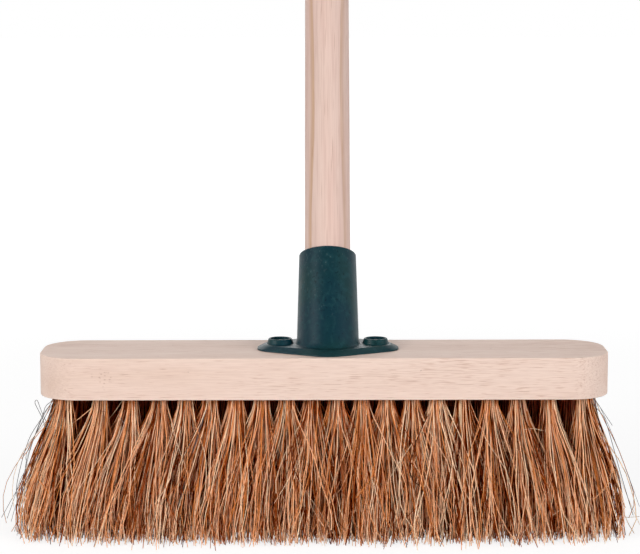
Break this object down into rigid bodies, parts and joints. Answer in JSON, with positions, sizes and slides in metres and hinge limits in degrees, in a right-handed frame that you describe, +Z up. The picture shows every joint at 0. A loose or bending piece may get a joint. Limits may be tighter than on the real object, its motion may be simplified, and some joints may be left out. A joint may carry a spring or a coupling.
{
  "type": "yard broom",
  "caption": "Push broom: round-cornered wooden head block with coir tufts, a leaning plastic socket bracket screwed on top and a long round wooden handle.",
  "frame": {"origin": "on the floor, under the centre of the head block, in the plane of the bristles' tips", "axes": "+Z up, square to the head block; +X along the head block, to the right seen from the front; -Y the broom's front, so that the handle leans back towards +Y"},
  "size_m": [0.3245, 0.6015, 1.173],
  "materials": {
    "head_wood": "matte",
    "handle_wood": "satin",
    "bracket_plastic": "satin",
    "screw_steel": "satin",
    "coir": "matte"
  },
  "bodies": {
    "root": {"head_block": "head_wood", "socket_bracket": "bracket_plastic", "handle": "handle_wood", "bracket_screw_left": "screw_steel", "bracket_screw_right": "screw_steel", "handle_screw": "screw_steel", "bristles_front_left": "coir", "bristles_front_centre": "coir", "bristles_front_right": "coir", "bristles_second_left": "coir", "bristles_second_centre": "coir", "bristles_second_right": "coir", "bristles_middle_left": "coir", "bristles_middle_centre": "coir", "bristles_middle_right": "coir", "bristles_fourth_left": "coir", "bristles_fourth_centre": "coir", "bristles_fourth_right": "coir", "bristles_back_left": "coir", "bristles_back_centre": "coir", "bristles_back_right": "coir"}
  },
  "joints": []
}
